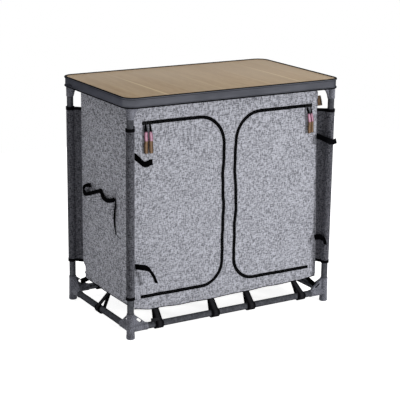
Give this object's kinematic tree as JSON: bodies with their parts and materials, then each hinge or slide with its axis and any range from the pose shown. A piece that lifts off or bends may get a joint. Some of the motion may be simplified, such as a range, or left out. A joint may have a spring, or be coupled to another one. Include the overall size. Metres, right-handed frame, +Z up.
{
  "type": "camping cupboard",
  "caption": "Plug-together camping cupboard: dark tube frame, wood-faced lift-off worktop, and a hanging grey fabric cabinet with zipped doors, shelves and a side pocket.",
  "frame": {"origin": "on the floor at the middle of the worktop's outline", "axes": "+Z up, +X along the worktop's width to the right of someone facing the doors, +Y from the doors to the back"},
  "size_m": [0.82, 0.5006, 0.8],
  "materials": {
    "rim_metal": "dark grey satin coating on pressed aluminium",
    "wood_face": "pale wood-grain face, satin",
    "connector_plastic": "fine-textured dark grey moulding",
    "tube_paint": "anthracite satin powder coat",
    "grey_melange": "light grey melange woven polyester",
    "dark_melange": "dark grey melange woven polyester",
    "shelf_board": "cloth-covered stiff board",
    "zip_cloth": "black zip tape and teeth",
    "slider_metal": "black enamelled slider",
    "pull_leather": "brown leather",
    "black_webbing": "black polyester webbing"
  },
  "bodies": {
    "root": {"bottom_connector_front_left": "connector_plastic", "bottom_connector_front_right": "connector_plastic", "bottom_connector_rear_right": "connector_plastic", "bottom_connector_rear_left": "connector_plastic", "top_connector_front_left": "connector_plastic", "top_connector_front_right": "connector_plastic", "top_connector_rear_right": "connector_plastic", "top_connector_rear_left": "connector_plastic", "leg_front_left": "tube_paint", "leg_front_right": "tube_paint", "leg_rear_right": "tube_paint", "leg_rear_left": "tube_paint", "bottom_rail_front": "tube_paint", "bottom_rail_rear": "tube_paint", "bottom_rail_left": "tube_paint", "bottom_rail_right": "tube_paint", "top_rail_front": "tube_paint", "top_rail_rear": "tube_paint", "top_rail_left": "tube_paint", "top_rail_right": "tube_paint", "cabinet_front": "grey_melange", "cabinet_back": "grey_melange", "cabinet_left": "grey_melange", "cabinet_right": "grey_melange", "cabinet_floor": "shelf_board", "cabinet_divider": "grey_melange", "shelf_left": "shelf_board", "shelf_right": "shelf_board", "leg_sleeve_front_left": "dark_melange", "leg_sleeve_front_right": "dark_melange", "leg_sleeve_rear_right": "dark_melange", "leg_sleeve_rear_left": "dark_melange", "side_pocket": "grey_melange", "leather_tab": "pull_leather", "left_zip_frame_half": "zip_cloth", "right_zip_frame_half": "zip_cloth", "front_strap_1": "black_webbing", "front_strap_2": "black_webbing", "front_strap_3": "black_webbing", "front_strap_4": "black_webbing", "corner_strap_front_right": "black_webbing", "corner_strap_rear_left": "black_webbing", "tie_back_left_upper": "black_webbing", "tie_back_left_lower": "black_webbing", "tie_back_right_upper": "black_webbing", "tie_back_right_lower": "black_webbing"},
    "worktop": {"worktop_rim": "rim_metal", "worktop_board": "wood_face"},
    "left_door_leaf": {"left_door": "grey_melange", "left_zip_door_half": "zip_cloth"},
    "right_door_leaf": {"right_door": "grey_melange", "right_zip_door_half": "zip_cloth"},
    "left_outer_slider_body": {"left_outer_slider": "slider_metal"},
    "left_inner_slider_body": {"left_inner_slider": "slider_metal"},
    "right_outer_slider_body": {"right_outer_slider": "slider_metal"},
    "right_inner_slider_body": {"right_inner_slider": "slider_metal"},
    "left_outer_pull_body": {"left_outer_pull": "pull_leather"},
    "left_inner_pull_body": {"left_inner_pull": "pull_leather"},
    "right_outer_pull_body": {"right_outer_pull": "pull_leather"},
    "right_inner_pull_body": {"right_inner_pull": "pull_leather"}
  },
  "joints": [
    {"name": "worktop_lift", "type": "slide", "parent": "root", "child": "worktop", "axis": [0, 0, 1], "range_m": [0, 0.15]},
    {"name": "left_door_swing", "type": "hinge", "parent": "root", "child": "left_door_leaf", "pos_m": [-0.29, -0.1921, 0.42], "axis": [0, 0, -1], "range_deg": [0, 100]},
    {"name": "right_door_swing", "type": "hinge", "parent": "root", "child": "right_door_leaf", "pos_m": [0.29, -0.1921, 0.42], "axis": [0, 0, 1], "range_deg": [0, 100]},
    {"name": "left_outer_slide", "type": "slide", "parent": "root", "child": "left_outer_slider_body", "axis": [1, 0, 0], "range_m": [0, 0.003]},
    {"name": "left_inner_slide", "type": "slide", "parent": "root", "child": "left_inner_slider_body", "axis": [1, 0, 0], "range_m": [0, 0.175]},
    {"name": "right_outer_slide", "type": "slide", "parent": "root", "child": "right_outer_slider_body", "axis": [-1, 0, 0], "range_m": [0, 0.003]},
    {"name": "right_inner_slide", "type": "slide", "parent": "root", "child": "right_inner_slider_body", "axis": [-1, 0, 0], "range_m": [0, 0.175]},
    {"name": "left_outer_pull_swing", "type": "hinge", "parent": "left_outer_slider_body", "child": "left_outer_pull_body", "pos_m": [-0.319, -0.1975, 0.706], "axis": [-1, 0, 0], "range_deg": [0, 100]},
    {"name": "left_inner_pull_swing", "type": "hinge", "parent": "left_inner_slider_body", "child": "left_inner_pull_body", "pos_m": [-0.3035, -0.1975, 0.706], "axis": [-1, 0, 0], "range_deg": [0, 100]},
    {"name": "right_outer_pull_swing", "type": "hinge", "parent": "right_outer_slider_body", "child": "right_outer_pull_body", "pos_m": [0.319, -0.1975, 0.706], "axis": [-1, 0, 0], "range_deg": [0, 100]},
    {"name": "right_inner_pull_swing", "type": "hinge", "parent": "right_inner_slider_body", "child": "right_inner_pull_body", "pos_m": [0.3035, -0.1975, 0.706], "axis": [-1, 0, 0], "range_deg": [0, 100]}
  ]
}
